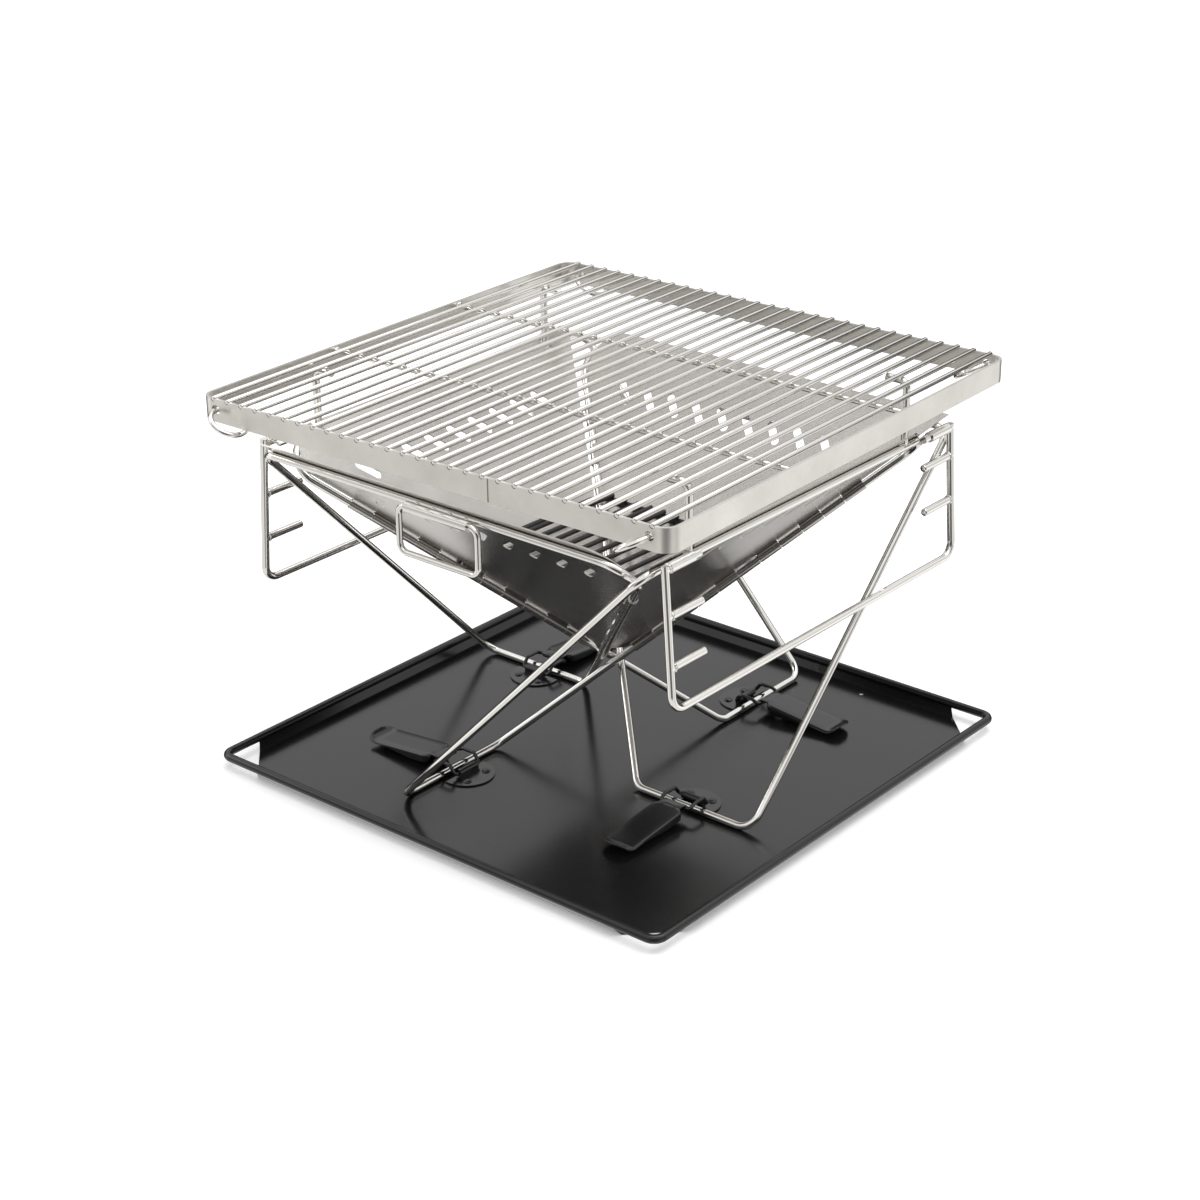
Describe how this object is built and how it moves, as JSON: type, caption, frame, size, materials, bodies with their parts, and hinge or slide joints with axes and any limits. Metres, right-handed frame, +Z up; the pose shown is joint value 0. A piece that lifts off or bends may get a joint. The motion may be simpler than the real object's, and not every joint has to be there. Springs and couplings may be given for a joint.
{
  "type": "folding camp grill",
  "caption": "Folding camp grill: square tray, crossed wire frames carrying hinged sheet panels, charcoal grate, and a cooking grate with swing brackets and handles.",
  "frame": {"origin": "on the ground under the middle of the square tray", "axes": "+Z up, +X and +Y along the tray's sides; the front side with the pictured handle is -Y"},
  "size_m": [0.45, 0.478, 0.32],
  "materials": {
    "tray_pan": "black satin enamel",
    "tray_rim_wire": "black satin enamel",
    "latch_base_front": "black satin enamel",
    "latch_bail_front": "polished",
    "latch_lever_front": "black satin enamel",
    "latch_base_right": "black satin enamel",
    "latch_bail_right": "polished",
    "latch_lever_right": "black satin enamel",
    "latch_base_back": "black satin enamel",
    "latch_bail_back": "polished",
    "latch_lever_back": "black satin enamel",
    "latch_base_left": "black satin enamel",
    "latch_bail_left": "polished",
    "latch_lever_left": "black satin enamel",
    "latch_rivets": "black satin enamel",
    "frame_wire_front": "polished",
    "panel_front": "mirror polished stainless",
    "frame_wire_right": "polished",
    "panel_right": "mirror polished stainless",
    "frame_wire_back": "polished",
    "panel_back": "mirror polished stainless",
    "frame_wire_left": "polished",
    "panel_left": "mirror polished stainless",
    "bracket_right": "polished",
    "bracket_sleeves_right": "polished",
    "grate_rests_right": "polished",
    "bracket_left": "polished",
    "bracket_sleeves_left": "polished",
    "grate_rests_left": "polished",
    "handle_front": "polished",
    "handle_sleeve_front": "polished",
    "handle_back": "polished",
    "handle_sleeve_back": "polished",
    "charcoal_grate_frame": "heat-proof black",
    "charcoal_grate_bars": "heat-proof black",
    "grate_frame": "satin",
    "grate_rods": "polished",
    "grate_cross_rods": "polished",
    "grate_ring_front_left": "polished",
    "grate_ring_front_right": "polished",
    "grate_ring_back_left": "polished",
    "grate_ring_back_right": "polished"
  },
  "bodies": {
    "tray": {"tray_pan": "tray_pan", "tray_rim_wire": "tray_rim_wire", "latch_rivets": "latch_rivets", "latch_base_front": "latch_base_front", "latch_base_right": "latch_base_right", "latch_base_back": "latch_base_back", "latch_base_left": "latch_base_left"},
    "side_front": {"frame_wire_front": "frame_wire_front", "panel_front": "panel_front", "handle_sleeve_front": "handle_sleeve_front"},
    "side_right": {"frame_wire_right": "frame_wire_right", "panel_right": "panel_right", "bracket_sleeves_right": "bracket_sleeves_right", "grate_rests_right": "grate_rests_right"},
    "side_back": {"frame_wire_back": "frame_wire_back", "panel_back": "panel_back", "handle_sleeve_back": "handle_sleeve_back"},
    "side_left": {"frame_wire_left": "frame_wire_left", "panel_left": "panel_left", "bracket_sleeves_left": "bracket_sleeves_left", "grate_rests_left": "grate_rests_left"},
    "bracket_right": {"bracket_right": "bracket_right"},
    "bracket_left": {"bracket_left": "bracket_left"},
    "handle_front": {"handle_front": "handle_front"},
    "handle_back": {"handle_back": "handle_back"},
    "latch_bail_front": {"latch_bail_front": "latch_bail_front"},
    "latch_lever_front": {"latch_lever_front": "latch_lever_front"},
    "latch_bail_right": {"latch_bail_right": "latch_bail_right"},
    "latch_lever_right": {"latch_lever_right": "latch_lever_right"},
    "latch_bail_back": {"latch_bail_back": "latch_bail_back"},
    "latch_lever_back": {"latch_lever_back": "latch_lever_back"},
    "latch_bail_left": {"latch_bail_left": "latch_bail_left"},
    "latch_lever_left": {"latch_lever_left": "latch_lever_left"},
    "charcoal_grate": {"charcoal_grate_frame": "charcoal_grate_frame", "charcoal_grate_bars": "charcoal_grate_bars"},
    "cooking_grate": {"grate_frame": "grate_frame", "grate_rods": "grate_rods", "grate_cross_rods": "grate_cross_rods"},
    "ring_front_left": {"grate_ring_front_left": "grate_ring_front_left"},
    "ring_front_right": {"grate_ring_front_right": "grate_ring_front_right"},
    "ring_back_left": {"grate_ring_back_left": "grate_ring_back_left"},
    "ring_back_right": {"grate_ring_back_right": "grate_ring_back_right"}
  },
  "joints": [
    {"name": "fold", "type": "hinge", "parent": "side_front", "child": "side_right", "pos_m": [0.175, -0.175, 0.259], "axis": [-0.5954, 0.5568, -0.5793], "range_deg": [0, 30]},
    {"name": "fold_left", "type": "hinge", "parent": "side_front", "child": "side_left", "pos_m": [-0.199, -0.175, 0.259], "axis": [0.5568, 0.5954, -0.5793], "range_deg": [0, 36.5]},
    {"name": "fold_back", "type": "hinge", "parent": "side_right", "child": "side_back", "pos_m": [0.175, 0.199, 0.259], "axis": [0.5568, 0.5954, 0.5793], "range_deg": [0, 36.5]},
    {"name": "lift", "type": "slide", "parent": "tray", "child": "side_front", "axis": [0, 0, 1], "range_m": [0, 0.425]},
    {"name": "charcoal_lift", "type": "slide", "parent": "side_front", "child": "charcoal_grate", "axis": [0, 0, 1], "range_m": [0, 0.32]},
    {"name": "grate_lift", "type": "slide", "parent": "charcoal_grate", "child": "cooking_grate", "axis": [0, 0, 1], "range_m": [0, 0.06]},
    {"name": "bracket_right_swing", "type": "hinge", "parent": "side_right", "child": "bracket_right", "pos_m": [0.1852, 0.012, 0.264], "axis": [0, -1, 0], "range_deg": [0, 100]},
    {"name": "bracket_left_swing", "type": "hinge", "parent": "side_left", "child": "bracket_left", "pos_m": [-0.2092, 0.012, 0.264], "axis": [0, 1, 0], "range_deg": [0, 100]},
    {"name": "handle_front_swing", "type": "hinge", "parent": "side_front", "child": "handle_front", "pos_m": [-0.012, -0.18235, 0.2575], "axis": [-1, 0, 0], "range_deg": [0, 110]},
    {"name": "handle_back_swing", "type": "hinge", "parent": "side_back", "child": "handle_back", "pos_m": [-0.012, 0.20635, 0.2575], "axis": [1, 0, 0], "range_deg": [0, 110]},
    {"name": "latch_front_bail", "type": "hinge", "parent": "tray", "child": "latch_bail_front", "pos_m": [-0.134, 0.059, 0.0056], "axis": [1, 0, 0], "range_deg": [0, 95]},
    {"name": "latch_front_lever", "type": "hinge", "parent": "latch_bail_front", "child": "latch_lever_front", "pos_m": [-0.134, 0.082, 0.01], "axis": [1, 0, 0], "range_deg": [0, 85]},
    {"name": "latch_right_bail", "type": "hinge", "parent": "tray", "child": "latch_bail_right", "pos_m": [-0.059, -0.11, 0.0056], "axis": [0, 1, 0], "range_deg": [0, 95]},
    {"name": "latch_right_lever", "type": "hinge", "parent": "latch_bail_right", "child": "latch_lever_right", "pos_m": [-0.082, -0.11, 0.01], "axis": [0, 1, 0], "range_deg": [0, 85]},
    {"name": "latch_back_bail", "type": "hinge", "parent": "tray", "child": "latch_bail_back", "pos_m": [0.11, -0.035, 0.0056], "axis": [-1, 0, 0], "range_deg": [0, 95]},
    {"name": "latch_back_lever", "type": "hinge", "parent": "latch_bail_back", "child": "latch_lever_back", "pos_m": [0.11, -0.058, 0.01], "axis": [-1, 0, 0], "range_deg": [0, 85]},
    {"name": "latch_left_bail", "type": "hinge", "parent": "tray", "child": "latch_bail_left", "pos_m": [0.035, 0.134, 0.0056], "axis": [0, -1, 0], "range_deg": [0, 95]},
    {"name": "latch_left_lever", "type": "hinge", "parent": "latch_bail_left", "child": "latch_lever_left", "pos_m": [0.058, 0.134, 0.01], "axis": [0, -1, 0], "range_deg": [0, 85]},
    {"name": "ring_front_left_swing", "type": "hinge", "parent": "cooking_grate", "child": "ring_front_left", "pos_m": [-0.19584, -0.22331, 0.3095], "axis": [-0.0279, 0.9996, 0], "range_deg": [0, 60]},
    {"name": "ring_front_right_swing", "type": "hinge", "parent": "cooking_grate", "child": "ring_front_right", "pos_m": [0.208, -0.21202, 0.3095], "axis": [0.0279, -0.9996, 0], "range_deg": [0, 60]},
    {"name": "ring_back_left_swing", "type": "hinge", "parent": "cooking_grate", "child": "ring_back_left", "pos_m": [-0.208, 0.21202, 0.3095], "axis": [-0.0279, 0.9996, 0], "range_deg": [0, 60]},
    {"name": "ring_back_right_swing", "type": "hinge", "parent": "cooking_grate", "child": "ring_back_right", "pos_m": [0.19584, 0.22331, 0.3095], "axis": [0.0279, -0.9996, 0], "range_deg": [0, 60]}
  ],
  "couplings": [
    {"joint": "fold_left", "follows": "fold", "ratio": 1.2},
    {"joint": "fold_back", "follows": "fold", "ratio": 1.2},
    {"joint": "lift", "follows": "fold", "m_per_rad": 0.8},
    {"joint": "charcoal_lift", "follows": "fold", "m_per_rad": 0.6}
  ]
}
